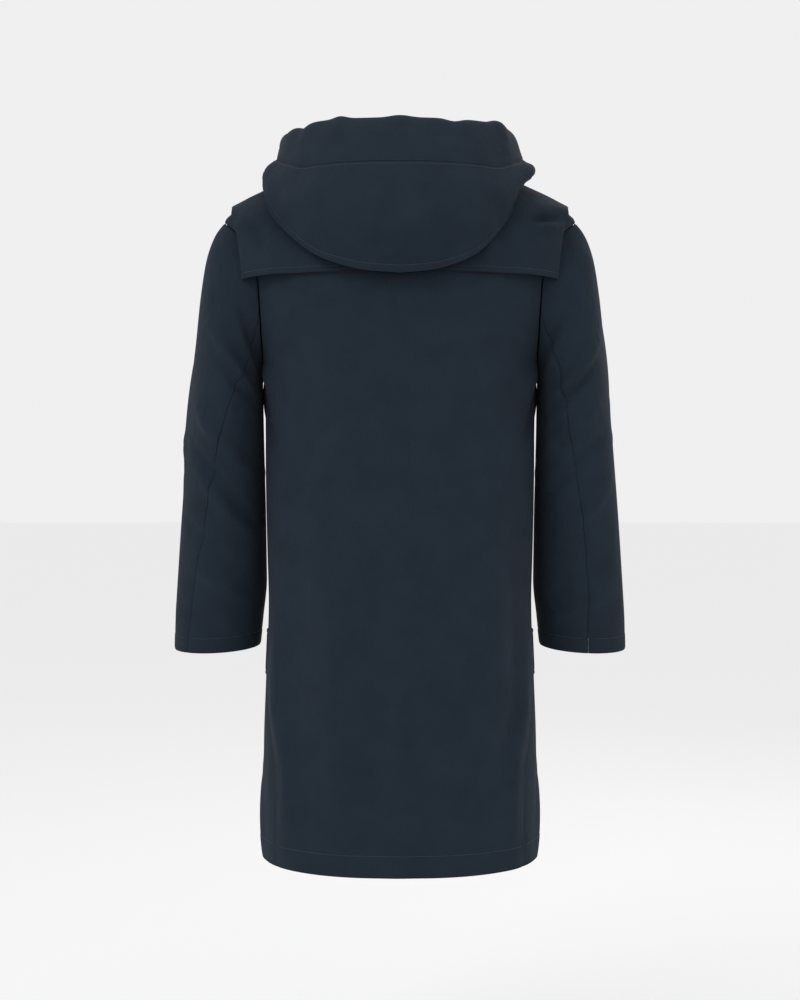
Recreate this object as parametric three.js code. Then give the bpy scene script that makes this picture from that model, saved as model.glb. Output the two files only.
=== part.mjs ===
// Duffle coat: a hooded coat that reaches the knee, filled out as if it were worn, with nobody in it.
// It is hollow, and open at the neck, the cuffs and the hem. The hood hangs down the back.
//
// Millimetres. +Z is up, the front faces -Y, and the wearer's left is +X. The origin is the middle of the
// neck, level with the inner ends of the shoulder seams, where the wearer's shoulders carry the coat.
//
// Every cloth piece is a wall of even thickness. Its outer face is a function of u, round the body, and v,
// down it, and each takes its sizes from the short tables below.
import * as THREE from "three";

// ---- Driving dimensions ----------------------------------------------------------------------------

const CLOTH = 2; // thickness of the cloth
const SEAM = 0.3; // space left between two pieces that are sewn edge to edge
const LAYER = 2.7; // space between a panel and a piece that lies on it
const ROUND = 2.3; // squareness of the body's level sections, where 2 is an ellipse
const SQUASH = 1.8; // width to depth of the sections, by which the columns of points are spaced

const SHOULDER_Z = -91; // outer end of the shoulder, top of the armhole
const UNDERARM_Z = -300; // bottom of the armhole
const HEM_Z = -1013;
const ARMHOLE_DEPTH = 68; // from the armhole's middle to its back or front edge
const ARMHOLE_STEP = 18; // degrees round the armhole from one point to the next
const BACK_NECK_DIP = 18; // how far the neckline falls at the middle of the back
const FRONT_NECK_DIP = 80;

const OVERLAP = 35; // how far each front reaches past the middle
const OVERLAP_RISE = CLOTH + 2; // the left front lies this far out, over the right one
const RISE_START = 96; // distance from the middle where the left front starts to rise

const YOKE_END_Z = -69; // where the yoke's side edge leaves the shoulder line
const YOKE_HEM_Z = -182;
const FRONT_YOKE_HEM_Z = -196;
const YOKE_OUT = LAYER + CLOTH; // from the panel's outer face to the yoke's
const YOKE_EDGE_LIFT = 17; // the yoke's corners stand off to bridge the sleeve head

const SHOULDER_LIFT = 2.5; // and the yoke stands off a little where it turns over the shoulder

const HOOD_END = 174; // degrees from the middle of the back to each end of the hood
const HOOD_UNDER_OUT = YOKE_OUT + 3.5 * LAYER + CLOTH;
const HOOD_EDGE_OUT = HOOD_UNDER_OUT + LAYER + CLOTH;
const HOOD_SKEW = 0.045; // the hood hangs a little further round on the wearer's left

const FASTENING_HEIGHTS = [-250, -380, -510, -640];
const TOGGLE_LENGTH = 52;
const TOGGLE_RADIUS = 7.5;
const TOGGLE_WAIST = 5.4; // radius where the toggle is tied
const TOGGLE_X = -58;
const LEATHER = 1.8; // thickness of the fastenings' leather
const TAB_LENGTH = 42;
const LOOP_WIDTH = 18; // over its two strands
const STRAND = 4; // width of a strand of the loop, and half that of the thong

// ---- Tables ----------------------------------------------------------------------------------------

// Outline of the body: the shoulder line, then the armhole, then the side. x is its distance from the middle.
const EDGE = [
  { z: 0, x: 80 },
  { z: -24, x: 132 },
  { z: -48, x: 185 },
  { z: -69, x: 229 },
  { z: -80, x: 246 },
  { z: SHOULDER_Z, x: 256.5 },
  { z: -102, x: 247 },
  { z: -116, x: 233 },
  { z: -135, x: 220 },
  { z: -160, x: 208 },
  { z: -190, x: 202 },
  { z: -250, x: 199 },
  { z: UNDERARM_Z, x: 198.5 },
  { z: -385, x: 197 },
  { z: -480, x: 196 },
  { z: -570, x: 194 },
  { z: -645, x: 192 },
  { z: -760, x: 196 },
  { z: -850, x: 199 },
  { z: HEM_Z, x: 200 },
];

// Depth of the body, from the middle plane to the middle of the back and of the front.
const DEPTH = [
  { z: 0, back: 72, front: 80 },
  { z: -50, back: 92, front: 89 },
  { z: -91, back: 108, front: 99 },
  { z: -130, back: 119, front: 112 },
  { z: -190, back: 130, front: 126 },
  { z: -300, back: 139, front: 137 },
  { z: -420, back: 141, front: 139 },
  { z: -620, back: 142, front: 141 },
  { z: -820, back: 146, front: 146 },
  { z: HEM_Z, back: 151, front: 151 },
];

// The side seam, in degrees from the middle of the back. It drifts backwards towards the hem.
const SIDE_SEAM = [
  { z: UNDERARM_Z, angle: 90 },
  { z: -350, angle: 85 },
  { z: -640, angle: 80 },
  { z: -760, angle: 78 },
  { z: -825, angle: 71 },
  { z: -880, angle: 65 },
  { z: HEM_Z, angle: 63 },
];

// Side edge of the yoke, in degrees from the middle of the back; the front's is its mirror image.
const YOKE_EDGE = [
  { z: YOKE_END_Z, angle: 90 },
  { z: -91, angle: 77 },
  { z: -125, angle: 74.5 },
  { z: FRONT_YOKE_HEM_Z, angle: 74.5 },
];

// Sections of the left sleeve, from the armhole to the cuff. A section's long way runs from its outer
// point to its inner one; y and depth place it from front to back, drop tips its back down, and the two
// seams are in degrees from the outer point towards the back, for the left sleeve and the right one.
const SLEEVE = [
  { outX: 256.5, outZ: SHOULDER_Z, inX: 198.5, inZ: UNDERARM_Z, y: 0, depth: 68, drop: 0, left: 108, right: 108 },
  { outX: 270, outZ: -109, inX: 200.6, inZ: -307, y: 0, depth: 71, drop: 0, left: 126, right: 121 },
  { outX: 282.5, outZ: -143, inX: 201.8, inZ: -318, y: 0, depth: 76, drop: 0, left: 129, right: 123 },
  { outX: 291, outZ: -195, inX: 201.8, inZ: -334, y: 0, depth: 81, drop: 0, left: 126, right: 119 },
  { outX: 298, outZ: -262, inX: 201.4, inZ: -356, y: -1, depth: 85, drop: 0, left: 115, right: 115 },
  { outX: 305, outZ: -335, inX: 201, inZ: -388, y: -3, depth: 86, drop: 0.01, left: 100, right: 109 },
  { outX: 313.5, outZ: -422, inX: 200.2, inZ: -442, y: -9, depth: 81, drop: 0.03, left: 85, right: 100 },
  { outX: 324, outZ: -527, inX: 199.2, inZ: -528, y: -23, depth: 70, drop: 0.07, left: 70, right: 88 },
  { outX: 332.5, outZ: -617, inX: 199.4, inZ: -612, y: -39, depth: 58, drop: 0.12, left: 57, right: 82 },
  { outX: 338, outZ: -677, inX: 205.5, inZ: -669, y: -52, depth: 49, drop: 0.15, left: 51, right: 85 },
  { outX: 340.5, outZ: -720, inX: 211, inZ: -714, y: -61, depth: 44, drop: 0.17, left: 49, right: 87 },
];
const FRONT_SLEEVE_SEAM = 252; // degrees from the outer point, by way of the back

// Height of the hood's sewn edge where it lies on the yoke, by degrees from the middle of the back.
const HOOD_EDGE = [
  { angle: 0, z: -190 },
  { angle: 18, z: -186.5 },
  { angle: 31.5, z: -177.5 },
  { angle: 42.5, z: -163 },
  { angle: 50, z: -143 },
  { angle: 56.6, z: -118 },
  { angle: 62.5, z: -87 },
  { angle: 72, z: -57 },
  { angle: 82, z: -45 },
  { angle: 95, z: -43 },
  { angle: 115, z: -54 },
  { angle: 135, z: -68 },
  { angle: 160, z: -87 },
  { angle: 182, z: -96 },
];

// Rings that the hood's outer cloth passes through, from its sewn edge up and over to the face opening.
// Each is a level superellipse about the neck, bent up and down to the heights in HOOD_HEIGHT.
const HOOD_RING = {
  belly: { side: 192, back: 184, front: 131 },
  seam: { side: 179, back: 166, front: 118 },
  crest: { side: 153, back: 119, front: 110 },
  lip: { side: 94, back: 85, front: 101 },
};
const HOOD_HEIGHT = [
  { angle: 0, belly: -126, seam: -38, crest: 31, lip: 14 },
  { angle: 45, belly: -88, seam: -36, crest: 33, lip: 16 },
  { angle: 60, belly: -48, seam: -23, crest: 34, lip: 18 },
  { angle: 75, belly: -24, seam: -8, crest: 34, lip: 21 },
  { angle: 90, belly: -14, seam: 0, crest: 33, lip: 22 },
  { angle: 115, belly: -24, seam: -8, crest: 26, lip: 18 },
  { angle: 135, belly: -40, seam: -24, crest: 9, lip: 6 },
  { angle: 160, belly: -64, seam: -50, crest: -24, lip: -26 },
  { angle: 180, belly: -74, seam: -62, crest: -40, lip: -42 },
];

// Patch pockets: heights, and the degrees from the middle of the back that they span.
const POCKET = { top: -700, bottom: -905, from: 94, to: 143, corner: 0.13 };
const FLAP = { top: -688, bottom: -757, from: 93, to: 144, corner: 0.05 };

// ---- Interpolation ---------------------------------------------------------------------------------

const RAD = Math.PI / 180;
const mix = (a, b, t) => a + (b - a) * t;
const clamp = (t) => Math.min(1, Math.max(0, t));
const smooth = (t) => clamp(t) ** 2 * (3 - 2 * clamp(t));

// An angle between two others round the body. They are spaced so that the narrow sides get more of them.
function turn(from, to, u) {
  const squash = (angle, squareness) => {
    const turned = Math.atan2(Math.sin(angle * RAD) * squareness, Math.cos(angle * RAD)) / RAD;
    return angle > 180 ? turned + 360 : turned;
  };
  return squash(mix(squash(from, 1 / SQUASH), squash(to, 1 / SQUASH), u), SQUASH);
}

// A smooth function through a table's column that never overshoots its rows: cubic pieces whose slope at
// each row is the harmonic mean of the slopes on its two sides.
function column(table, key, by) {
  const rows = [...table].sort((a, b) => a[by] - b[by]);
  const at = rows.map((row) => row[by]);
  const value = rows.map((row) => row[key]);
  const rise = at.slice(1).map((x, i) => (value[i + 1] - value[i]) / (x - at[i]));
  const slope = value.map((_, i) => {
    const before = rise[Math.max(0, i - 1)];
    const after = rise[Math.min(rise.length - 1, i)];
    return before * after <= 0 ? 0 : (2 * before * after) / (before + after);
  });
  return (x) => {
    const inside = Math.min(Math.max(x, at[0]), at[at.length - 1]);
    let i = 0;
    while (i < at.length - 2 && inside > at[i + 1]) i += 1;
    const step = at[i + 1] - at[i];
    const t = (inside - at[i]) / step;
    const start = value[i] * (1 + 2 * t) + slope[i] * step * t;
    const end = value[i + 1] * (3 - 2 * t) - slope[i + 1] * step * (1 - t);
    return start * (1 - t) ** 2 + end * t ** 2;
  };
}

// The same through a table whose rows are evenly spaced and numbered from 0.
const numbered = (table, key) =>
  column(
    table.map((row, n) => ({ ...row, n })),
    key,
    "n",
  );

// ---- The body's surface ----------------------------------------------------------------------------

const edgeX = column(EDGE, "x", "z");
const backDepth = column(DEPTH, "back", "z");
const frontDepth = column(DEPTH, "front", "z");
const sideSeam = column(SIDE_SEAM, "angle", "z");
const ARMHOLE_Z = (SHOULDER_Z + UNDERARM_Z) / 2;
const ARMHOLE_HALF_HEIGHT = (SHOULDER_Z - UNDERARM_Z) / 2;

// How far the armhole's edge lies from the middle plane at a height; 0 above and below the armhole.
function armholeY(z) {
  const h = (z - ARMHOLE_Z) / ARMHOLE_HALF_HEIGHT;
  return ARMHOLE_DEPTH * Math.sqrt(Math.max(0, 1 - h * h));
}

// A level section is a superellipse through the middle of the back or front and through the outline's
// point at that height, so its half width is larger than the outline beside the armhole.
function section(z, atBack) {
  const depth = atBack ? backDepth(z) : frontDepth(z);
  const half = edgeX(z) / (1 - (armholeY(z) / depth) ** ROUND) ** (1 / ROUND);
  return { depth, half };
}

// A point on the body's outer face: degrees from the middle of the back, and height.
function body(angle, z) {
  const sin = Math.sin(angle * RAD);
  const cos = Math.cos(angle * RAD);
  const { depth, half } = section(z, cos > 0);
  const r = ((Math.abs(sin) / half) ** ROUND + (Math.abs(cos) / depth) ** ROUND) ** (-1 / ROUND);
  return new THREE.Vector3(r * sin, r * cos, z);
}

// The body's outward normal, and a point moved out along it.
function bodyNormal(angle, z) {
  const round = body(angle + 0.2, z).sub(body(angle - 0.2, z));
  const down = body(angle, z - 0.5).sub(body(angle, z + 0.5));
  return round.cross(down).normalize();
}
const bodyOut = (angle, z, out) => body(angle, z).addScaledVector(bodyNormal(angle, z), out);

// The angle where a level section of the front reaches a distance x from the middle plane.
function frontAngle(x, z) {
  const { depth, half } = section(z, false);
  const y = depth * (1 - (Math.abs(x) / half) ** ROUND) ** (1 / ROUND);
  return 180 - Math.atan2(x, y) / RAD;
}

// Angle of the armhole's edge at a height, or of the shoulder line or the side seam above and below it.
function panelEdge(z) {
  if (z >= SHOULDER_Z) return 90;
  if (z > UNDERARM_Z) return Math.atan2(edgeX(z), armholeY(z)) / RAD;
  return sideSeam(z);
}

// How far the neckline lies below the shoulder at an angle, fading out with the height of the row.
function neckDip(angle, edge, z) {
  const atBack = Math.cos(angle * RAD) > 0;
  const dip = atBack ? BACK_NECK_DIP : FRONT_NECK_DIP;
  const fade = 1 - smooth(z / (atBack ? -200 : UNDERARM_Z));
  return dip * fade * Math.max(0, Math.cos(angle * RAD) ** 4 - Math.cos(edge * RAD) ** 4);
}
const necklineZ = (angle) => -neckDip(angle, 90, 0);

// The armhole cuts the cloth along a surface that runs from front to back. This is its normal.
function armholeNormal(z) {
  const slope = (edgeX(z + 0.5) - edgeX(z - 0.5)) / 1;
  return new THREE.Vector3(1, 0, -slope).normalize();
}

// ---- Walls -----------------------------------------------------------------------------------------

// A closed wall of cloth. place(u, v) is a point on its outer face, u and v run from 0 to 1, and the face
// turns outwards where u runs clockwise seen from above and v runs down. flip turns it round.
// trim(normal, u, v) may turn the direction in which the wall gets its thickness, as at a cut edge.
function wall(name, material, columns, rows, place, options = {}) {
  const { thickness = CLOTH, flip = false, trim = (normal) => normal } = options;
  const tiny = 1e-3;
  const normal = (u, v) => {
    const across = place(Math.min(1, u + tiny), v).sub(place(Math.max(0, u - tiny), v));
    const down = place(u, Math.min(1, v + tiny)).sub(place(u, Math.max(0, v - tiny)));
    return across.cross(down).normalize().multiplyScalar(flip ? -1 : 1);
  };
  const outer = [];
  const inner = [];
  for (let j = 0; j <= rows; j += 1) {
    for (let i = 0; i <= columns; i += 1) {
      const [u, v] = [i / columns, j / rows];
      const point = place(u, v);
      outer.push(point);
      inner.push(point.clone().addScaledVector(trim(normal(u, v), u, v, point), -thickness));
    }
  }
  const points = [...outer, ...inner];
  const corner = (i, j, side) => side * outer.length + j * (columns + 1) + i;
  const faces = [];
  const quad = (a, b, c, d) => faces.push(a, c, b, a, d, c);
  for (let j = 0; j < rows; j += 1) {
    for (let i = 0; i < columns; i += 1) {
      quad(corner(i, j, 0), corner(i, j + 1, 0), corner(i + 1, j + 1, 0), corner(i + 1, j, 0));
      quad(corner(i, j, 1), corner(i + 1, j, 1), corner(i + 1, j + 1, 1), corner(i, j + 1, 1));
    }
  }
  for (let i = 0; i < columns; i += 1) {
    quad(corner(i, 0, 0), corner(i + 1, 0, 0), corner(i + 1, 0, 1), corner(i, 0, 1));
    quad(corner(i + 1, rows, 0), corner(i, rows, 0), corner(i, rows, 1), corner(i + 1, rows, 1));
  }
  for (let j = 0; j < rows; j += 1) {
    quad(corner(0, j + 1, 0), corner(0, j, 0), corner(0, j, 1), corner(0, j + 1, 1));
    quad(corner(columns, j, 0), corner(columns, j + 1, 0), corner(columns, j + 1, 1), corner(columns, j, 1));
  }
  return solid(name, material, points, faces, flip);
}

// A mesh from points and triangles. across x down points outwards, so unflipped faces are turned here.
function solid(name, material, points, faces, flip) {
  const order = flip ? faces.toReversed() : faces;
  const geometry = new THREE.BufferGeometry().setFromPoints(points);
  geometry.setIndex(order);
  geometry.computeVertexNormals();
  const mesh = new THREE.Mesh(geometry, material);
  mesh.name = name;
  return mesh;
}

// ---- Materials -------------------------------------------------------------------------------------

const cloth = new THREE.MeshStandardMaterial({ color: "#232d38", roughness: 0.85, metalness: 0 });
const leather = new THREE.MeshStandardMaterial({ color: "#1b1614", roughness: 0.55, metalness: 0 });
const horn = new THREE.MeshStandardMaterial({ color: "#4a3524", roughness: 0.3, metalness: 0 });

// ---- Back and fronts -------------------------------------------------------------------------------

// Heights of the rows of the back and the fronts. Beside the armhole they meet the sleeve's points.
const armholeRows = Array.from(
  { length: 180 / ARMHOLE_STEP + 1 },
  (_, n) => ARMHOLE_Z + ARMHOLE_HALF_HEIGHT * Math.cos(n * ARMHOLE_STEP * RAD),
);
const SHOULDER_ROWS = [0, -20, -43, YOKE_END_Z, -80];
const PANEL_ROWS = [...SHOULDER_ROWS, ...armholeRows, -350, -425, -510, -600, -680, -760, -840, -925, HEM_Z];

function rowHeight(rows, v) {
  const at = clamp(v) * (rows.length - 1);
  const n = Math.min(rows.length - 2, Math.floor(at));
  return mix(rows[n], rows[n + 1], at - n);
}

// Beside the armhole the wall's thickness must not lean out towards the sleeve.
function trimAtArmhole(normal, u, v, point) {
  const beside = point.z <= SHOULDER_Z && point.z > UNDERARM_Z && (u === 0 || u === 1);
  if (!beside) return normal;
  const across = armholeNormal(point.z);
  if (point.x < 0) across.x *= -1;
  const lean = Math.min(0, normal.dot(across));
  return normal.clone().addScaledVector(across, -lean);
}

function backPanel() {
  const place = (u, v) => {
    const z = rowHeight(PANEL_ROWS, v);
    const edge = panelEdge(z);
    const space = SEAM / 2 / edgeX(z) / RAD;
    const angle = turn(-(edge - space), edge - space, u);
    return body(angle, z - neckDip(angle, edge, z));
  };
  return wall("back", cloth, 14, PANEL_ROWS.length - 1, place, { trim: trimAtArmhole });
}

// The left front lies over the right one past the middle.
function overlapRise(x) {
  return OVERLAP_RISE * smooth((RISE_START - x) / (RISE_START - OVERLAP - 8));
}

// A point on a front, side 1 for the left and -1 for the right, moved out by a distance.
function frontPoint(side, angle, z, out = 0) {
  const point = bodyOut(angle, z, out);
  if (side > 0) point.y -= overlapRise(point.x);
  point.x *= side;
  return point;
}

function frontPanel(name, side) {
  const place = (u, v) => {
    const z = rowHeight(PANEL_ROWS, v);
    const edge = panelEdge(z);
    const start = z > UNDERARM_Z ? 180 - edge : edge;
    const space = SEAM / 2 / edgeX(z) / RAD;
    const low = z - neckDip(180, edge, z);
    const angle = turn(start + space, frontAngle(-OVERLAP, low), u);
    return frontPoint(side, angle, z - neckDip(angle, edge, z));
  };
  return wall(name, cloth, 8, PANEL_ROWS.length - 1, place, { flip: side < 0, trim: trimAtArmhole });
}

// ---- Yoke ------------------------------------------------------------------------------------------

const yokeEdge = column(YOKE_EDGE, "angle", "z");
const yokeAngle = (z) => (z >= YOKE_END_Z ? 90 : yokeEdge(z));
const yokeRows = (hem) => [...PANEL_ROWS.filter((z) => z > hem + 8), hem];
const YOKE_ROWS = yokeRows(YOKE_HEM_Z);
const FRONT_YOKE_ROWS = yokeRows(FRONT_YOKE_HEM_Z);

// How far the yoke stands off the body: more at its lower corners, where it bridges the sleeve head.
function yokeOut(angle, z) {
  const fromMiddle = angle > 90 ? 180 - angle : Math.abs(angle);
  const corner = smooth((fromMiddle - 50) / 24) * smooth((YOKE_END_Z - z) / 45);
  const shoulder = smooth((fromMiddle - 30) / 30) * smooth((-20 - z) / 30);
  return YOKE_OUT + YOKE_EDGE_LIFT * corner + SHOULDER_LIFT * shoulder;
}

function yokeBack() {
  const place = (u, v) => {
    const z = rowHeight(YOKE_ROWS, v);
    const edge = yokeAngle(z) - SEAM / 2 / edgeX(z) / RAD;
    const angle = turn(-edge, edge, u);
    return bodyOut(angle, z - neckDip(angle, 90, z), yokeOut(angle, z));
  };
  return wall("yoke_back", cloth, 14, YOKE_ROWS.length - 1, place);
}

// The left one ends short of its front's edge, and the right one clear of the left front.
function yokeFront(name, side) {
  const end = side > 0 ? -OVERLAP + 6 : OVERLAP + 12;
  const place = (u, v) => {
    const z = rowHeight(FRONT_YOKE_ROWS, v);
    const start = 180 - yokeAngle(z) + SEAM / 2 / edgeX(z) / RAD;
    const low = z - neckDip(180, 90, z);
    const angle = turn(start, frontAngle(end, low), u);
    return frontPoint(side, angle, z - neckDip(angle, 90, z), yokeOut(angle, z));
  };
  return wall(name, cloth, 8, FRONT_YOKE_ROWS.length - 1, place, { flip: side < 0 });
}

// ---- Sleeves ---------------------------------------------------------------------------------------

const sleeve = Object.fromEntries(Object.keys(SLEEVE[0]).map((key) => [key, numbered(SLEEVE, key)]));
const SLEEVE_SECTIONS = SLEEVE.length - 1;

// A point on the left sleeve: n counts the sections from the armhole, and the angle turns from the
// section's outer point towards the back. The first section is bent to the armhole's own outline.
function sleevePoint(n, angle) {
  const cos = Math.cos(angle * RAD);
  const sin = Math.sin(angle * RAD);
  const share = (1 + cos) / 2;
  const y = sleeve.depth(n) * sin;
  const x = mix(sleeve.inX(n), sleeve.outX(n), share);
  const z = mix(sleeve.inZ(n), sleeve.outZ(n), share) - sleeve.drop(n) * y;
  const armhole = ARMHOLE_Z + ARMHOLE_HALF_HEIGHT * cos;
  const bend = edgeX(armhole) - mix(sleeve.inX(0), sleeve.outX(0), share);
  const point = new THREE.Vector3(x, sleeve.y(n) + y, z);
  point.x += bend * (1 - smooth(n / 2)) + (SEAM + 0.2) * (1 - clamp(n));
  return point;
}

// One of a sleeve's two pieces, between the seam angles that from(n) and to(n) give.
function sleevePiece(name, side, columns, from, to) {
  const rows = 14;
  const sectionAt = (v) => SLEEVE_SECTIONS * mix(v, v ** 1.25, 0.5);
  const place = (u, v) => {
    const n = sectionAt(v);
    const across = (sleeve.outX(n) - sleeve.inX(n)) / 2;
    const space = (n > 0 ? SEAM * 0.75 : SEAM) / across / RAD;
    const point = sleevePoint(n, mix(from(n) + space, to(n) - space, u));
    point.x *= side;
    return point;
  };
  const trim = (normal, u, v, point) => {
    if (v > 0) return normal;
    const across = armholeNormal(point.z);
    if (side < 0) across.x *= -1;
    return normal.clone().addScaledVector(across, -normal.dot(across)).normalize();
  };
  return wall(name, cloth, columns, rows, place, { flip: side > 0, trim });
}

function sleevePair(name, side, backSeam) {
  const upperTurn = (backSeam(0) + 360 - FRONT_SLEEVE_SEAM) / ARMHOLE_STEP;
  const underTurn = (FRONT_SLEEVE_SEAM - backSeam(0)) / ARMHOLE_STEP;
  return [
    sleevePiece(`${name}_upper`, side, upperTurn, () => FRONT_SLEEVE_SEAM - 360, backSeam),
    sleevePiece(`${name}_under`, side, underTurn, backSeam, () => FRONT_SLEEVE_SEAM),
  ];
}

// ---- Hood ------------------------------------------------------------------------------------------

const hoodEdgeZ = column(HOOD_EDGE, "z", "angle");
const hoodHeight = Object.fromEntries(
  Object.keys(HOOD_RING).map((ring) => [ring, column(HOOD_HEIGHT, ring, "angle")]),
);

// Height of the hood's sewn edge. The skew swings it a little to the wearer's left.
function hoodEdge(angle) {
  return hoodEdgeZ(Math.abs(angle) * (1 - HOOD_SKEW * Math.sign(angle)));
}

// A point of one of the hood's rings, at an angle about the neck.
function ringPoint(ring, angle) {
  const { side, back, front } = HOOD_RING[ring];
  const sin = Math.sin(angle * RAD);
  const cos = Math.cos(angle * RAD);
  const r = ((Math.abs(sin) / side) ** ROUND + (Math.abs(cos) / (cos > 0 ? back : front)) ** ROUND) ** (-1 / ROUND);
  return new THREE.Vector3(r * sin, r * cos, hoodHeight[ring](Math.abs(angle)));
}

// The curve that the outer cloth follows at an angle, from the sewn edge, over the crest, to the lip.
function hoodProfile(angle) {
  const edge = bodyOut(angle, hoodEdge(angle), HOOD_EDGE_OUT + yokeOut(angle, hoodEdge(angle)) - YOKE_OUT);
  const rings = Object.keys(HOOD_RING).map((ring) => ringPoint(ring, angle));
  return new THREE.CatmullRomCurve3([edge, ...rings], false, "centripetal");
}

const HOOD_SEAM_AT = 0.5; // share of the profile's control points from the sewn edge to the brim's seam

function hoodPiece(name, rows, from, to) {
  const place = (u, v) => hoodProfile(turn(-HOOD_END, HOOD_END, u)).getPoint(mix(to, from, v));
  return wall(name, cloth, 28, rows, place);
}

// The cloth between the neck seam and the sewn edge, which lies on the yoke.
function hoodUnder() {
  const place = (u, v) => {
    const angle = turn(-HOOD_END, HOOD_END, u);
    const z = mix(necklineZ(angle), hoodEdge(angle), v);
    return bodyOut(angle, z, HOOD_UNDER_OUT + yokeOut(angle, z) - YOKE_OUT);
  };
  return wall("hood_under", cloth, 28, 4, place);
}

// ---- Pockets ---------------------------------------------------------------------------------------

// A piece that lies on a front, with its lower corners rounded off.
function patch(name, side, shape, out) {
  const place = (u, v) => {
    const middle = (shape.from + shape.to) / 2;
    const half = ((shape.to - shape.from) / 2) * (1 - shape.corner * clamp((v - 0.8) / 0.2) ** 2);
    return frontPoint(side, middle + half * (2 * u - 1), mix(shape.top, shape.bottom, v), out);
  };
  return wall(name, cloth, 4, 4, place, { flip: side < 0 });
}

function pocket(name, side) {
  const bag = patch(`pocket_${name}`, side, POCKET, LAYER + CLOTH);
  const flap = patch(`pocket_flap_${name}`, side, FLAP, 2 * (LAYER + CLOTH));
  return [bag, flap];
}

// ---- Fastenings ------------------------------------------------------------------------------------

// A point over the closed front, at a distance from the middle and a height, moved out. The step down
// from the left front's edge to the right front is eased.
function overFront(x, z, out) {
  const point = bodyOut(frontAngle(x, z), z, out);
  point.y -= overlapRise(x) * (1 - smooth((-OVERLAP - x) / 20));
  return point;
}

// A flat strap that follows the front from one distance to another, with a half width and a height of its
// underside above the cloth that change along it.
function strap(name, fromX, toX, z, halfWidth, under) {
  const place = (u, v) => overFront(mix(fromX, toX, u), z + halfWidth(u) * (1 - 2 * v), under(u) + LEATHER);
  return wall(name, leather, 5, 1, place, { thickness: LEATHER, flip: fromX < toX });
}

// A closed loop of leather that lies flat: its path is two straight strands with round ends.
function loop(name, fromX, toX, z, under) {
  const bend = (LOOP_WIDTH - STRAND) / 2;
  const straight = (fromX - toX) / 2 - LOOP_WIDTH / 2;
  const path = new THREE.Path();
  path.absarc(straight, 0, bend, -Math.PI / 2, Math.PI / 2);
  path.absarc(-straight, 0, bend, Math.PI / 2, (3 * Math.PI) / 2);
  path.closePath();
  const steps = 28;
  const corners = [
    [STRAND / 2, LEATHER],
    [-STRAND / 2, LEATHER],
    [-STRAND / 2, 0],
    [STRAND / 2, 0],
  ];
  const points = [];
  const faces = [];
  for (let i = 0; i < steps; i += 1) {
    const at = path.getPointAt(i / steps);
    const along = path.getTangentAt(i / steps);
    corners.forEach(([side, up], k) => {
      const x = (fromX + toX) / 2 + at.x + side * along.y;
      points.push(overFront(x, z + at.y - side * along.x, under + up));
      const [a, b] = [i * 4 + k, i * 4 + ((k + 1) % 4)];
      const [c, d] = [(b + 4) % (4 * steps), (a + 4) % (4 * steps)];
      faces.push(a, c, b, a, d, c);
    });
  }
  return solid(name, leather, points, faces, false);
}

// A toggle, turned from horn: a barrel that tapers to round ends, with a waist in the middle.
function toggle(name, z, out) {
  const half = TOGGLE_LENGTH / 2;
  const outline = [
    { radius: 0, at: half },
    { radius: 4, at: half - 1 },
    { radius: 6, at: half - 5 },
    { radius: TOGGLE_RADIUS, at: 7 },
    { radius: TOGGLE_WAIST, at: 3 },
  ];
  const mirrored = outline.map(({ radius, at }) => ({ radius, at: -at }));
  const profile = [...mirrored, ...outline.toReversed()].map(({ radius, at }) => new THREE.Vector2(radius, at));
  const barrel = new THREE.LatheGeometry(profile, 12);
  const place = barrel.attributes.position;
  for (let i = 0; i < place.count; i += 1) {
    const point = overFront(TOGGLE_X + place.getX(i), z + place.getY(i), out + place.getZ(i));
    place.setXYZ(i, point.x, point.y, point.z);
  }
  const mesh = new THREE.Mesh(barrel, horn);
  mesh.name = name;
  return mesh;
}

// One fastening. The right tab holds the toggle by a thong, and the left tab holds the loop, which lies
// over the thong and round it, under the toggle.
function fastening(number, z) {
  const loopUnder = LAYER + LEATHER + 0.4;
  const toggleOut = loopUnder + LEATHER + 0.4 + TOGGLE_RADIUS;
  const thongRise = toggleOut - TOGGLE_WAIST - SEAM - LEATHER - LAYER;
  const tabHalf = (u) => mix(16, 8, smooth(u));
  return [
    strap(`tab_right_${number}`, -94 - TAB_LENGTH, -94, z, tabHalf, () => LAYER),
    strap(`thong_${number}`, -94 + SEAM, TOGGLE_X + 3, z, () => STRAND / 2, (u) => LAYER + thongRise * smooth(4 * u - 3)),
    strap(`tab_left_${number}`, TAB_LENGTH - 12, -12, z, tabHalf, () => LAYER),
    loop(`loop_${number}`, -12 - SEAM, TOGGLE_X - 14, z, loopUnder),
    toggle(`toggle_${number}`, z, toggleOut),
  ];
}

// ---- The coat --------------------------------------------------------------------------------------

const coat = new THREE.Group();
coat.name = "duffle_coat";
coat.add(
  backPanel(),
  frontPanel("front_left", 1),
  frontPanel("front_right", -1),
  yokeBack(),
  yokeFront("yoke_front_left", 1),
  yokeFront("yoke_front_right", -1),
  ...sleevePair("sleeve_left", 1, sleeve.left),
  ...sleevePair("sleeve_right", -1, sleeve.right),
  hoodUnder(),
  hoodPiece("hood_back", 5, 0, HOOD_SEAM_AT - 0.004),
  hoodPiece("hood_brim", 5, HOOD_SEAM_AT + 0.004, 1),
  ...pocket("left", 1),
  ...pocket("right", -1),
  ...FASTENING_HEIGHTS.flatMap((z, n) => fastening(n + 1, z)),
);

export default coat;
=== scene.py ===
import math

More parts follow.
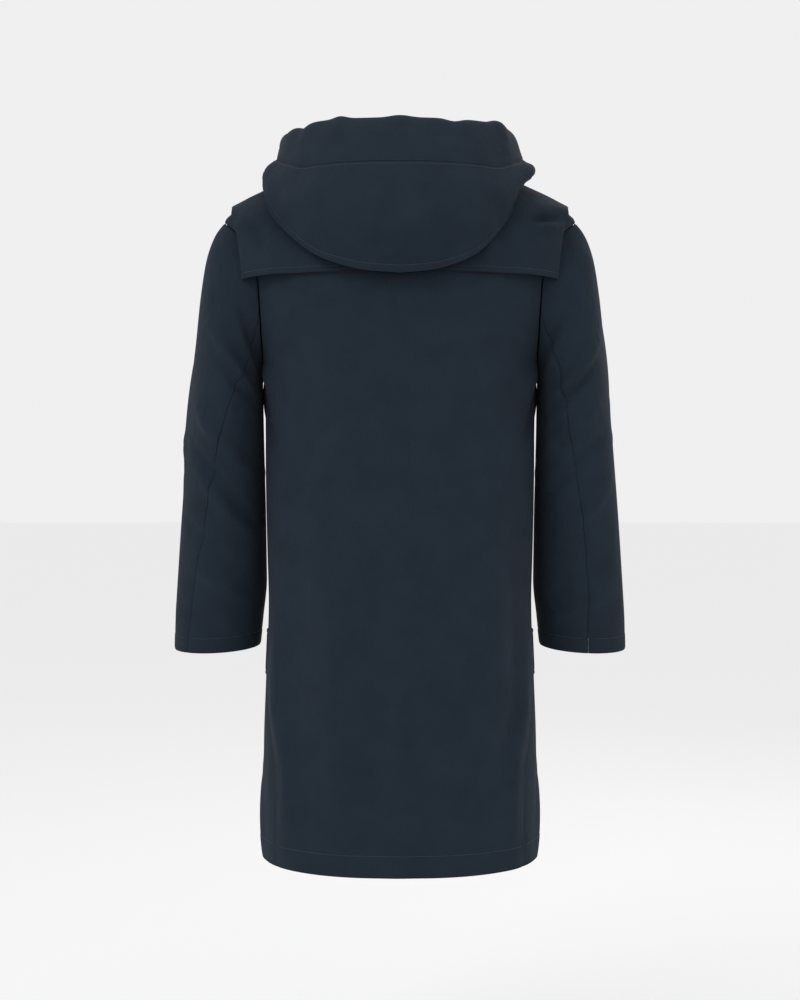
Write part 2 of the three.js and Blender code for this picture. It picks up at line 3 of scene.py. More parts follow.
import bpy
import numpy as np
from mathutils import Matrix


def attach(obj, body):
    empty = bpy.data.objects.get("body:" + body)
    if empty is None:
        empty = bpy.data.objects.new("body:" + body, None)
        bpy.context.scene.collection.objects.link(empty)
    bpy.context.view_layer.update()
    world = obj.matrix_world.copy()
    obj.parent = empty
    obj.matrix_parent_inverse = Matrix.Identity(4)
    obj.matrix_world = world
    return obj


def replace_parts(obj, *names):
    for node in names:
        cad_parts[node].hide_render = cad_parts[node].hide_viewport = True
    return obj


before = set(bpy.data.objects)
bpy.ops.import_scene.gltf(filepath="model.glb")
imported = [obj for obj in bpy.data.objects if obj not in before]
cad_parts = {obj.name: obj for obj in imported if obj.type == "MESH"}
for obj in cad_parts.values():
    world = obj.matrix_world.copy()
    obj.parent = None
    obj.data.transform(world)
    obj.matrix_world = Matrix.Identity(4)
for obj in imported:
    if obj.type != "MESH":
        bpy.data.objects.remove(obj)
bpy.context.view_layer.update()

bl_info = {
    "name": "Duffle Coat",
    "version": (1, 0, 0),
    "blender": (4, 5, 0),
    "location": "View3D > Sidebar > Coat",
    "description": "Builds the cloth, stitching and toggle fastenings of a hooded duffle coat",
    "category": "Add Mesh",
}

MM = 0.001
ROUND = 2.3  # squareness of the body's level sections, where 2 is an ellipse
SQUASH = 1.8  # width to depth of the sections, by which columns are spaced
SHOULDER_Z, UNDERARM_Z, HEM_Z = -91.0, -300.0, -1013.0
ARMHOLE_DEPTH = 68.0
BACK_NECK_DIP, FRONT_NECK_DIP = 18.0, 80.0
OVERLAP, OVERLAP_RISE, RISE_START, RISE_SPAN = 35.0, 4.0, 96.0, 53.0
CLOTH, LAYER = 2.0, 2.7
YOKE_END_Z, YOKE_HEM_Z, FRONT_YOKE_HEM_Z = -69.0, -182.0, -196.0
YOKE_OUT = LAYER + CLOTH
HOOD_UNDER_OUT = YOKE_OUT + 3.5 * LAYER + CLOTH
HOOD_EDGE_OUT = HOOD_UNDER_OUT + LAYER + CLOTH
HOOD_END, HOOD_SKEW = 174.0, 0.045
BODY_HEM, CUFF_HEM, YOKE_HEM, FRONT_HEM = 30, 24, 8, 9  # depths of the turned and stitched edges
HOOD_HEM, BRIM_HEM, HOOD_END_HEM, POCKET_HEM = 11, 14, 6, 7
BRIM_SEAM_INSET = 5  # of the stitching below the brim's seam
POCKET_OUT, FLAP_OUT = 3.4, 6.6  # from the front's outer face to theirs
YOKE_CORNER_LIFT, SHOULDER_LIFT = 13, 2
SLEEVE_ROWS, SLEEVE_SECTIONS = 170, 10
SEAM_ANGLE, SLEEVE_SEAM_ANGLE = 0.04, 0.15  # degrees left beside a seam, on each piece
HOOD_SEAM = (0.4992, 0.5008)  # shares of the hood's profile, either side of the brim's seam
FASTENING_HEIGHTS = (-250.0, -380.0, -510.0, -640.0)
TOGGLE_X, TOGGLE_RADIUS, TOGGLE_WAIST = -58.0, 7.5, 5.4
GAP, WAIST_GAP = 0.4, 0.3  # between tab, loop and toggle, and between the toggle's waist and the thong
TABS = (("right", -136, -94), ("left", 30, -12))  # from x to x
TAB_HALF, TAB_HEM, TAB_PITCH, TAB_THREAD = (16, 8), 3, 2.6, 0.34
THONG, THONG_HALF, LOOP = (-93.7, -55), 2, (-12.3, -72)
LEATHER = 1.8
FOLD_DEPTH = 2.6  # all the folds together

EDGE = {
    "z": (0, -24, -48, -69, -80, -91, -102, -116, -135, -160, -190, -250, -300, -385, -480, -570, -645,
          -760, -850, -1013),
    "x": (80, 132, 185, 229, 246, 256.5, 247, 233, 220, 208, 202, 199, 198.5, 197, 196, 194, 192,
          196, 199, 200),
}
DEPTH = {
    "z": (0, -50, -91, -130, -190, -300, -420, -620, -820, -1013),
    "back": (72, 92, 108, 119, 130, 139, 141, 142, 146, 151),
    "front": (80, 89, 99, 112, 126, 137, 139, 141, 146, 151),
}
SIDE_SEAM = {"z": (-300, -350, -640, -760, -825, -880, -1013), "angle": (90, 85, 80, 78, 71, 65, 63)}
YOKE_EDGE = {"z": (-69, -91, -125, -196), "angle": (90, 77, 74.5, 74.5)}
SLEEVE = {
    "n": tuple(range(11)),
    "outX": (256.5, 270, 282.5, 291, 298, 305, 313.5, 324, 332.5, 338, 340.5),
    "outZ": (-91, -109, -143, -195, -262, -335, -422, -527, -617, -677, -720),
    "inX": (198.5, 200.6, 201.8, 201.8, 201.4, 201, 200.2, 199.2, 199.4, 205.5, 211),
    "inZ": (-300, -307, -318, -334, -356, -388, -442, -528, -612, -669, -714),
    "y": (0, 0, 0, 0, -1, -3, -9, -23, -39, -52, -61),
    "depth": (68, 71, 76, 81, 85, 86, 81, 70, 58, 49, 44),
    "drop": (0, 0, 0, 0, 0, 0.01, 0.03, 0.07, 0.12, 0.15, 0.17),
    "left": (108, 126, 129, 126, 115, 100, 85, 70, 57, 51, 49),
    "right": (108, 121, 123, 119, 115, 109, 100, 88, 82, 85, 87),
}
FRONT_SLEEVE_SEAM = 252.0
HOOD_EDGE = {
    "angle": (0, 18, 31.5, 42.5, 50, 56.6, 62.5, 72, 82, 95, 115, 135, 160, 182),
    "z": (-190, -186.5, -177.5, -163, -143, -118, -87, -57, -45, -43, -54, -68, -87, -96),
}
RINGS = {
    "belly": (192, 184, 131), "seam": (181, 166, 118), "crest": (164, 124, 112), "lip": (94, 85, 101),
}
HOOD_HEIGHT = {
    "angle": (0, 45, 60, 75, 90, 115, 135, 160, 180),
    "belly": (-126, -88, -48, -24, -14, -24, -40, -64, -74),
    "seam": (-38, -36, -23, -8, 0, -8, -24, -50, -62),
    "crest": (31, 33, 34, 34, 33, 26, 9, -24, -40),
    "lip": (14, 16, 18, 21, 22, 18, 6, -26, -42),
}
POCKET = {"top": -700.0, "bottom": -905.0, "from": 98.0, "to": 143.0, "corner": 0.13}
FLAP = {"top": -688.0, "bottom": -757.0, "from": 97.0, "to": 144.0, "corner": 0.05}


# ---- Surfaces ---------------------------------------------------------------------------------------

def smooth(t):
    """Smoothstep: 0 up to 0, 1 from 1, and 3t^2 - 2t^3 between."""
    t = np.clip(t, 0.0, 1.0)
    return t * t * (3 - 2 * t)


def mix(a, b, t):
    """Linear blend: a at t = 0, b at t = 1."""
    return a + (b - a) * t


def column(table, key, by):
    """Cubic through a column of a table; each row's slope is the harmonic mean of its two sides'."""
    order = np.argsort(table[by])
    at = np.array(table[by], float)[order]
    value = np.array(table[key], float)[order]
    rise = np.diff(value) / np.diff(at)
    before, after = np.r_[rise[0], rise], np.r_[rise, rise[-1]]
    product = before * after
    total = np.where(product > 0, before + after, 1.0)
    slope = np.where(product > 0, 2 * product / total, 0.0)

    def curve(x):
        inside = np.clip(x, at[0], at[-1])
        i = np.clip(np.searchsorted(at, inside, side="right") - 1, 0, len(at) - 2)
        step = at[i + 1] - at[i]
        t = (inside - at[i]) / step
        start = value[i] * (1 + 2 * t) + slope[i] * step * t
        end = value[i + 1] * (3 - 2 * t) - slope[i + 1] * step * (1 - t)
        return start * (1 - t) ** 2 + end * t ** 2

    return curve


edge_x = column(EDGE, "x", "z")
back_depth = column(DEPTH, "back", "z")
front_depth = column(DEPTH, "front", "z")
side_seam = column(SIDE_SEAM, "angle", "z")
yoke_edge = column(YOKE_EDGE, "angle", "z")
hood_edge_z = column(HOOD_EDGE, "z", "angle")
hood_height = {ring: column(HOOD_HEIGHT, ring, "angle") for ring in RINGS}
sleeve = {key: column(SLEEVE, key, "n") for key in SLEEVE if key != "n"}
ARMHOLE_Z = (SHOULDER_Z + UNDERARM_Z) / 2
ARMHOLE_HALF = (SHOULDER_Z - UNDERARM_Z) / 2


def turn(start, end, u):
    """An angle between two others, evenly spaced on a circle squashed by SQUASH."""
    def squash(angle, squareness):
        a = np.radians(angle)
        turned = np.degrees(np.arctan2(np.sin(a) * squareness, np.cos(a)))
        return np.where(np.asarray(angle) > 180, turned + 360, turned)
    return squash(mix(squash(start, 1 / SQUASH), squash(end, 1 / SQUASH), u), SQUASH)


def armhole_y(z):
    """Half breadth of the armhole, an ellipse in height."""
    return ARMHOLE_DEPTH * np.sqrt(np.maximum(0, 1 - ((z - ARMHOLE_Z) / ARMHOLE_HALF) ** 2))


def section(z, at_back):
    """Depth and half width of the level superellipse that passes through the armhole's edge."""
    depth = np.where(at_back, back_depth(z), front_depth(z))
    return depth, edge_x(z) / (1 - (armhole_y(z) / depth) ** ROUND) ** (1 / ROUND)


def body(angle, z):
    """The coat's body: a superellipse in each level section, by degrees from the middle of the back."""
    a = np.radians(angle)
    sin, cos = np.sin(a), np.cos(a)
    depth, half = section(z, cos > 0)
    r = ((np.abs(sin) / half) ** ROUND + (np.abs(cos) / depth) ** ROUND) ** (-1 / ROUND)
    return np.stack([r * sin, r * cos, z + 0 * r], axis=-1)


def unit(v):
    """Vectors brought to length one."""
    return v / np.maximum(np.linalg.norm(v, axis=-1, keepdims=True), 1e-9)


def body_out(angle, z, out):
    """A point of the body moved out along the body's normal."""
    around = body(angle + 0.2, z) - body(angle - 0.2, z)
    down = body(angle, z - 0.5) - body(angle, z + 0.5)
    return body(angle, z) + unit(np.cross(around, down)) * np.asarray(out)[..., None]


def front_angle(x, z):
    """The angle at which the front's section at a height is at a distance from the middle."""
    depth, half = section(z, False)
    y = depth * (1 - (np.abs(x) / half) ** ROUND) ** (1 / ROUND)
    return 180 - np.degrees(np.arctan2(x, y))


def panel_edge(z):
    """Angle of the shoulder line, the armhole's edge or the side seam at a height."""
    hole = np.degrees(np.arctan2(edge_x(z), armhole_y(z)))
    return np.where(z >= SHOULDER_Z, 90.0, np.where(z > UNDERARM_Z, hole, side_seam(z)))


def neck_dip(angle, edge, z):
    """How far the neckline falls at an angle, fading out downwards."""
    a = np.radians(angle)
    at_back = np.cos(a) > 0
    dip = np.where(at_back, BACK_NECK_DIP, FRONT_NECK_DIP)
    fade = 1 - smooth(z / np.where(at_back, -200.0, UNDERARM_Z))
    return dip * fade * np.maximum(0, np.cos(a) ** 4 - np.cos(np.radians(edge)) ** 4)


def overlap_rise(x):
    """Rise of the left front over the right one, growing as x falls from RISE_START over RISE_SPAN."""
    return OVERLAP_RISE * smooth((RISE_START - x) / RISE_SPAN)


def front_point(side, angle, z, out):
    """A point on a front, moved out; the left front rises over the right one past the middle."""
    p = body_out(angle, z, out)
    if side > 0:
        p[..., 1] -= overlap_rise(p[..., 0])
    p[..., 0] *= side
    return p


def over_front(x, z, out):
    """A point over the closed front, eased down past the left front's edge."""
    p = body_out(front_angle(x, z), z, out)
    p[..., 1] -= overlap_rise(x) * (1 - smooth((-OVERLAP - x) / 20))
    return p


def yoke_angle(z):
    """Angle of the yoke's side edge from the middle of the back, by height."""
    return np.where(z >= YOKE_END_Z, 90.0, yoke_edge(z))


def yoke_out(angle, z):
    """The yoke stands off more at its lower corners, over the sleeve head, and at the shoulders."""
    off = np.where(angle > 90, 180 - angle, np.abs(angle))
    corner = smooth((off - 50) / 24) * smooth((YOKE_END_Z - z) / 45)
    shoulder = smooth((off - 30) / 30) * smooth((-20 - z) / 30)
    return YOKE_OUT + YOKE_CORNER_LIFT * corner + SHOULDER_LIFT * shoulder


def sleeve_point(side, n, angle):
    """The sleeve: ellipses from the armhole's outline to the cuff, by degrees from the outer point."""
    a = np.radians(angle)
    cos, sin = np.cos(a), np.sin(a)
    share = (1 + cos) / 2
    y = sleeve["depth"](n) * sin
    x = mix(sleeve["inX"](n), sleeve["outX"](n), share)
    z = mix(sleeve["inZ"](n), sleeve["outZ"](n), share) - sleeve["drop"](n) * y
    bend = edge_x(ARMHOLE_Z + ARMHOLE_HALF * cos) - mix(SLEEVE["inX"][0], SLEEVE["outX"][0], share)
    x = x + bend * (1 - smooth(n / 2)) + 0.5 * (1 - np.clip(n, 0, 1))
    return np.stack([side * x, sleeve["y"](n) + y, z], axis=-1)


def ring_point(ring, angle):
    """A ring of the hood: a superellipse about the neck, bent up and down to the ring's heights."""
    side, back, front = RINGS[ring]
    a = np.radians(angle)
    sin, cos = np.sin(a), np.cos(a)
    deep = np.where(cos > 0, back, front)
    r = ((np.abs(sin) / side) ** ROUND + (np.abs(cos) / deep) ** ROUND) ** (-1 / ROUND)
    return np.stack([r * sin, r * cos, hood_height[ring](np.abs(angle))], axis=-1)


def hood_edge(angle):
    """Height of the hood's sewn edge, swung a little to the wearer's left."""
    return hood_edge_z(np.abs(angle) * (1 - HOOD_SKEW * np.sign(angle)))


def hood_point(angle, t):
    """The hood's outer cloth: a centripetal Catmull-Rom curve at each angle, from the sewn edge at
    t = 0 through the belly, seam and crest rings to the lip at t = 1."""
    z = hood_edge(angle)
    stops = [body_out(angle, z, HOOD_EDGE_OUT + yoke_out(angle, z) - YOKE_OUT)]
    stops += [ring_point(ring, angle) for ring in RINGS]
    stops = [2 * stops[0] - stops[1], *stops, 2 * stops[-1] - stops[-2]]
    at = np.clip(t, 0, 1) * 4
    out = np.zeros_like(stops[0])
    for i in range(4):
        p0, p1, p2, p3 = stops[i:i + 4]
        gap = [np.sqrt(np.linalg.norm(b - a, axis=-1))[..., None]
               for a, b in ((p0, p1), (p1, p2), (p2, p3))]
        first = ((p1 - p0) / gap[0] - (p2 - p0) / (gap[0] + gap[1]) + (p2 - p1) / gap[1]) * gap[1]
        last = ((p2 - p1) / gap[1] - (p3 - p1) / (gap[1] + gap[2]) + (p3 - p2) / gap[2]) * gap[1]
        s = np.clip(at - i, 0, 1)[..., None]
        cubic = (2 * p1 - 2 * p2 + first + last) * s ** 3 + (3 * p2 - 3 * p1 - 2 * first - last) * s ** 2
        inside = ((at >= i) & ((at < i + 1) | (i == 3)))[..., None]
        out = np.where(inside, p1 + first * s + cubic, out)
    return out


# ---- Folds and walls --------------------------------------------------------------------------------

def fold_height(points, folds, trace):
    """Soft ridges and troughs: height * exp(-(distance to the fold's line / width)^2), fading at ends."""
    total = np.zeros(points.shape[:-1])
    for a0, b0, a1, b1, width, height in folds:
        s = np.linspace(0, 1, 9)
        line = trace(mix(a0, a1, s), mix(b0, b1, s))
        best = np.full(total.shape, 1e9)
        along = np.zeros(total.shape)
        for k in range(8):
            d = line[k + 1] - line[k]
            t = np.clip(((points - line[k]) @ d) / max(d @ d, 1e-9), 0, 1)
            gap = np.linalg.norm(points - line[k] - t[..., None] * d, axis=-1)
            along = np.where(gap < best, (k + t) / 8, along)
            best = np.minimum(best, gap)
        fade = np.sin(np.pi * np.clip(along, 0.04, 0.96)) ** 0.6
        total += FOLD_DEPTH * height * np.exp(-(best / width) ** 2) * fade
    return total


def grid_normals(p, flip):
    """Normals of a grid of points: the cross product of its two directions."""
    n = unit(np.cross(np.gradient(p, axis=1), np.gradient(p, axis=0)))
    return -n if flip else n


def new_object(name, verts, faces, material):
    """A smooth mesh of quads, its points given in millimetres, riding on the coat's one body."""
    mesh = bpy.data.meshes.new(name)
    mesh.vertices.add(len(verts))
    mesh.vertices.foreach_set("co", (np.asarray(verts, float) * MM).ravel())
    size = faces.shape[1]
    mesh.loops.add(faces.size)
    mesh.loops.foreach_set("vertex_index", faces.ravel())
    mesh.polygons.add(len(faces))
    mesh.polygons.foreach_set("loop_start", np.arange(0, faces.size, size))
    mesh.polygons.foreach_set("loop_total", np.full(len(faces), size))
    mesh.polygons.foreach_set("use_smooth", np.ones(len(faces), bool))
    mesh.update(calc_edges=True)
    mesh.materials.append(material)
    piece = bpy.data.objects.new(name, mesh)
    bpy.context.scene.collection.objects.link(piece)
    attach(piece, "root")
    return piece


def wall(name, place, nu, nv, flip=False, folds=(), hem=(0, 0, 0, 0), thickness=CLOTH,
         material="Coat cloth"):
    """A closed wall of cloth: place(u, v) moved out by folds, with each edge rolled under over a
    few millimetres, and an inner face one thickness behind. hem gives, for the top, bottom, start and
    end edges, how deep the turned hem is, or 0 at a sewn seam."""
    v, u = np.meshgrid(np.linspace(0, 1, nv + 1), np.linspace(0, 1, nu + 1), indexing="ij")
    flat = place(u, v)
    p = flat + grid_normals(flat, flip) * fold_height(flat, folds, place)[..., None]
    normal = grid_normals(p, flip)
    row = np.linalg.norm(np.diff(flat, axis=1), axis=-1)
    col = np.linalg.norm(np.diff(flat, axis=0), axis=-1)
    across = np.concatenate([np.zeros((nv + 1, 1)), np.cumsum(row, axis=1)], axis=1)
    below = np.concatenate([np.zeros((1, nu + 1)), np.cumsum(col, axis=0)], axis=0)
    edges = (below, below[-1:] - below, across, across[:, -1:] - across)
    sink = np.zeros(u.shape)
    for gap, depth in zip(edges, hem):
        if depth:
            sink -= 0.45 * smooth((depth + 1.5 - gap) / 3) - 0.75 * np.exp(-((gap - depth) / 1.3) ** 2)
            sink += 0.9 * np.exp(-(gap / 1.2) ** 2)
        else:
            sink += 1.1 * np.exp(-(gap / 2.2) ** 2)
    most = thickness * 0.45
    outer = p - normal * np.clip(sink, -most - 1, most)[..., None]
    inner = p - normal * thickness
    count = (nu + 1) * (nv + 1)
    index = np.arange(count).reshape(nv + 1, nu + 1)
    a, b, c, d = index[:-1, :-1], index[:-1, 1:], index[1:, 1:], index[1:, :-1]
    front = np.stack([a, d, c, b], axis=-1).reshape(-1, 4)
    back = np.stack([a, b, c, d], axis=-1).reshape(-1, 4) + count
    rim = np.concatenate([index[0, ::-1], index[1:, 0], index[-1, 1:], index[-2:0:-1, -1]])
    nxt = np.roll(rim, -1)
    side = np.stack([rim, rim + count, nxt + count, nxt], axis=-1)
    faces = np.concatenate([front, back, side[:, ::-1]])
    # The grid runs clockwise seen from outside, so the faces are turned unless the piece is mirrored.
    if not flip:
        faces = faces[:, ::-1]
    piece = new_object(name, np.concatenate([outer.reshape(-1, 3), inner.reshape(-1, 3)]), faces,
                       bpy.data.materials[material])
    return piece, outer


def stitches(name, lines, pitch=3.6, radius=0.42):
    """Rows of stitches: each a spindle of six sides laid along a line, its length 0.72 of the pitch."""
    verts, faces, base = [], [], 0
    profile = np.array([[-0.36, 0.35], [-0.15, 1.0], [0.15, 1.0], [0.36, 0.35]])
    spin = np.linspace(0, 2 * np.pi, 6, endpoint=False)
    for line, normal in lines:
        seg = np.linalg.norm(np.diff(line, axis=0), axis=-1)
        at = np.r_[0, np.cumsum(seg)]
        spots = np.arange(pitch, at[-1] - pitch, pitch)
        if len(spots) == 0:
            continue
        centre = np.stack([np.interp(spots, at, line[:, k]) for k in range(3)], axis=-1)
        ahead = np.stack([np.interp(spots + 0.5, at, line[:, k]) for k in range(3)], axis=-1)
        up = unit(np.stack([np.interp(spots, at, normal[:, k]) for k in range(3)], axis=-1))
        along = unit(ahead - centre)
        across = unit(np.cross(along, up))
        ring = (np.cos(spin)[None, :, None] * across[:, None, :]
                + 0.75 * np.sin(spin)[None, :, None] * up[:, None, :]) * radius
        shape = (centre[:, None, None, :] + 0.1 * up[:, None, None, :]
                 + profile[None, :, None, 0:1] * pitch * along[:, None, None, :]
                 + profile[None, :, None, 1:2] * ring[:, None, :, :])
        count = len(spots)
        verts.append(shape.reshape(-1, 3))
        one = []
        for r in range(3):
            for k in range(6):
                a, b = r * 6 + k, r * 6 + (k + 1) % 6
                one.append((a, b, b + 6, a + 6))
        for cap in ((5, 4, 3, 2), (5, 2, 1, 0), (18, 19, 20, 21), (18, 21, 22, 23)):
            one.append(cap)
        one = np.array(one)
        faces.append((one[None] + (np.arange(count) * 24)[:, None, None] + base).reshape(-1, 4))
        base += count * 24
    return new_object(name, np.concatenate(verts), np.concatenate(faces),
                      bpy.data.materials["Sewing thread"])


def seam_line(outer, flip, inset, edge):
    """A line on a piece's outer face at a distance in from one of its edges, and its normals."""
    grid = {"top": outer, "bottom": outer[::-1], "start": outer.transpose(1, 0, 2),
            "end": outer[:, ::-1].transpose(1, 0, 2)}[edge]
    normals = grid_normals(outer, flip)
    normals = {"top": normals, "bottom": normals[::-1], "start": normals.transpose(1, 0, 2),
               "end": normals[:, ::-1].transpose(1, 0, 2)}[edge]
    step = np.linalg.norm(np.diff(grid, axis=0), axis=-1)
    depth = np.concatenate([np.zeros((1, grid.shape[1])), np.cumsum(step, axis=0)], axis=0)
    k = np.clip((depth < inset).sum(axis=0) - 1, 0, grid.shape[0] - 2)
    cols = np.arange(grid.shape[1])
    t = ((inset - depth[k, cols]) / np.maximum(depth[k + 1, cols] - depth[k, cols], 1e-6))[:, None]
    line = mix(grid[k, cols], grid[k + 1, cols], np.clip(t, 0, 1))
    keep = slice(2, -2)
    return line[keep], normals[k, cols][keep]


# ---- Finishes ---------------------------------------------------------------------------------------

def new_material(name, base, roughness, sheen=0.0):
    """A Principled material and its node tree, with the uniform values on the shader's own sockets."""
    material = bpy.data.materials.new(name)
    material.use_nodes = True
    tree = material.node_tree
    shader = tree.nodes["Principled BSDF"]
    shader.inputs["Base Color"].default_value = (*base, 1)
    shader.inputs["Roughness"].default_value = roughness
    shader.inputs["Sheen Weight"].default_value = sheen
    return material, tree, shader


def noise(tree, coordinates, scale, detail, stretch=(1, 1, 1)):
    """A noise on Object coordinates; scale is in cycles a metre."""
    mapping = tree.nodes.new("ShaderNodeMapping")
    mapping.inputs["Scale"].default_value = stretch
    texture = tree.nodes.new("ShaderNodeTexNoise")
    texture.inputs["Scale"].default_value = scale
    texture.inputs["Detail"].default_value = detail
    tree.links.new(coordinates.outputs["Object"], mapping.inputs["Vector"])
    tree.links.new(mapping.outputs["Vector"], texture.inputs["Vector"])
    return texture.outputs["Fac"]


def ramp(tree, factor, low, high, start=0.3, end=0.7):
    """A ramp between two colours over part of a factor."""
    node = tree.nodes.new("ShaderNodeValToRGB")
    node.color_ramp.elements[0].position = start
    node.color_ramp.elements[1].position = end
    node.color_ramp.elements[0].color = (*low, 1)
    node.color_ramp.elements[1].color = (*high, 1)
    tree.links.new(factor, node.inputs["Fac"])
    return node.outputs["Color"]


def add_bump(tree, shader, heights):
    """Bumps in a chain; each height is a factor and its depth in metres."""
    last = None
    for factor, depth in heights:
        bump = tree.nodes.new("ShaderNodeBump")
        bump.inputs["Distance"].default_value = depth
        bump.inputs["Strength"].default_value = 1.0
        tree.links.new(factor, bump.inputs["Height"])
        if last:
            tree.links.new(last, bump.inputs["Normal"])
        last = bump.outputs["Normal"]
    tree.links.new(last, shader.inputs["Normal"])


def shade(base, factor):
    """A colour made darker or lighter by a factor."""
    return tuple(c * factor for c in base)


def make_materials(settings):
    """Brushed coating cloth, sewing thread, leather and horn."""
    base = tuple(settings.cloth_color)
    _, tree, shader = new_material("Coat cloth", base, 0.9, 0.02)
    shader.inputs["Sheen Roughness"].default_value = 0.5
    shader.inputs["Specular IOR Level"].default_value = 0.12
    where = tree.nodes.new("ShaderNodeTexCoord")
    fibre = noise(tree, where, 1500, 3)
    cloud = noise(tree, where, 26, 4)
    fine = ramp(tree, fibre, shade(base, 0.62), shade(base, 1.42))
    broad = ramp(tree, cloud, shade(base, 0.8), shade(base, 1.24), 0.25, 0.75)
    blend = tree.nodes.new("ShaderNodeMix")
    blend.data_type = "RGBA"
    blend.inputs["Factor"].default_value = 0.5
    tree.links.new(fine, blend.inputs["A"])
    tree.links.new(broad, blend.inputs["B"])
    tree.links.new(blend.outputs["Result"], shader.inputs["Base Color"])
    ribs = noise(tree, where, 900, 2, (1.6, 1.6, 0.7))
    puckers = noise(tree, where, 42, 3, (1, 1, 0.6))
    add_bump(tree, shader, ((puckers, 0.0022), (ribs, 0.0003), (fibre, 0.00012)))

    _, tree, shader = new_material("Sewing thread", shade(base, 1.35), 0.6, 0.1)
    where = tree.nodes.new("ShaderNodeTexCoord")
    ply = noise(tree, where, 2600, 2)
    colour = ramp(tree, ply, shade(base, 0.9), shade(base, 1.9))
    tree.links.new(colour, shader.inputs["Base Color"])

    hide = tuple(settings.leather_color)
    _, tree, shader = new_material("Leather", hide, 0.5)
    where = tree.nodes.new("ShaderNodeTexCoord")
    pores = noise(tree, where, 900, 5)
    wear = noise(tree, where, 60, 3)
    tree.links.new(ramp(tree, wear, shade(hide, 0.75), shade(hide, 1.9)), shader.inputs["Base Color"])
    add_bump(tree, shader, ((pores, 0.0003),))

    horn = tuple(settings.horn_color)
    _, tree, shader = new_material("Horn", horn, 0.28)
    shader.inputs["Coat Weight"].default_value = 0.4
    shader.inputs["Coat Roughness"].default_value = 0.15
    where = tree.nodes.new("ShaderNodeTexCoord")
    streaks = noise(tree, where, 160, 6, (2.5, 2.5, 0.25))
    tree.links.new(ramp(tree, streaks, shade(horn, 0.35), shade(horn, 2.4)), shader.inputs["Base Color"])
    add_bump(tree, shader, ((streaks, 0.0002),))


# ---- Pieces -----------------------------------------------------------------------------------------

class CoatSettings(bpy.types.PropertyGroup):
    """Colours and fineness of the coat."""
    cloth_color: bpy.props.FloatVectorProperty(
        name="Cloth", description="Colour of the coating cloth", size=3, subtype="COLOR", min=0, max=1,
        default=(0.0135, 0.0215, 0.0325))
    leather_color: bpy.props.FloatVectorProperty(
        name="Leather", description="Colour of the fastenings' leather", size=3, subtype="COLOR", min=0,
        max=1, default=(0.014, 0.011, 0.01))
    horn_color: bpy.props.FloatVectorProperty(
        name="Horn", description="Colour of the toggles", size=3, subtype="COLOR", min=0, max=1,
        default=(0.07, 0.035, 0.018))
    stitch_pitch: bpy.props.FloatProperty(
        name="Stitch", description="Length of one stitch in millimetres", default=3.6, min=2, max=8)


def panel_height(v):
    """Heights down a panel, a little denser beside the armhole."""
    return np.interp(v, (0, 0.12, 0.42, 1), (0, SHOULDER_Z, UNDERARM_Z, HEM_Z))


BACK_FOLDS = (
    # from u, v to u, v; width and height in mm
    (0.50, 0.62, 0.505, 0.99, 26, 2.2), (0.43, 0.70, 0.46, 1.0, 22, -1.8),
    (0.57, 0.66, 0.55, 1.0, 24, -1.6), (0.62, 0.60, 0.70, 0.96, 30, 2.6),
    (0.74, 0.55, 0.80, 0.92, 26, -2.4), (0.30, 0.60, 0.24, 0.94, 28, 2.2),
    (0.20, 0.58, 0.15, 0.90, 22, -2.0), (0.05, 0.42, 0.20, 0.47, 13, 2.4),
    (0.04, 0.45, 0.17, 0.52, 12, -1.8), (0.95, 0.42, 0.82, 0.46, 13, 2.2),
    (0.97, 0.45, 0.84, 0.53, 13, -1.8), (0.50, 0.34, 0.50, 0.60, 40, -1.6),
    (0.36, 0.36, 0.40, 0.52, 26, 1.6), (0.66, 0.38, 0.62, 0.56, 28, 1.7),
    (0.88, 0.72, 0.93, 0.98, 18, 2.4), (0.11, 0.76, 0.07, 0.99, 18, 2.2),
)
FRONT_FOLDS = (
    (0.10, 0.43, 0.30, 0.50, 13, 2.6), (0.06, 0.47, 0.22, 0.57, 12, -2.0),
    (0.45, 0.40, 0.55, 0.62, 24, 1.8), (0.35, 0.62, 0.32, 0.80, 22, -2.2),
    (0.55, 0.66, 0.50, 0.98, 24, 2.6), (0.72, 0.70, 0.74, 0.99, 22, -2.2),
    (0.25, 0.90, 0.20, 1.0, 16, 2.0), (0.80, 0.48, 0.84, 0.66, 20, 1.6),
)


class COAT_OT_body(bpy.types.Operator):
    """Cut the back and the two fronts, with their hems and soft vertical folds"""
    bl_idname = "coat.body"
    bl_label = "Back and fronts"

    def execute(self, context):
        def back(u, v):
            z = panel_height(v)
            edge = panel_edge(z) - SEAM_ANGLE
            angle = turn(-edge, edge, u)
            return body(angle, z - neck_dip(angle, edge, z))

        piece, outer = wall("Back", back, 150, 200, folds=BACK_FOLDS, hem=(0, BODY_HEM, 0, 0))
        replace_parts(piece, "back")
        lines = [seam_line(outer, False, BODY_HEM, "bottom")]
        for side, name in ((1, "left"), (-1, "right")):
            def front(u, v, side=side):
                z = panel_height(v)
                edge = panel_edge(z)
                start = np.where(z > UNDERARM_Z, 180 - edge, edge) + SEAM_ANGLE
                low = z - neck_dip(180.0, edge, z)
                angle = turn(start, front_angle(-OVERLAP, low), u)
                return front_point(side, angle, z - neck_dip(angle, edge, z), 0.0)
            flip = side < 0
            piece, outer = wall(f"Front_{name}", front, 84, 190, flip=flip,
                                folds=FRONT_FOLDS, hem=(0, BODY_HEM, 0, FRONT_HEM))
            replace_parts(piece, f"front_{name}")
            lines += [seam_line(outer, flip, BODY_HEM, "bottom"),
                      seam_line(outer, flip, FRONT_HEM, "end")]
        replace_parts(stitches("Body_stitches", lines, context.scene.coat.stitch_pitch))
        return {"FINISHED"}


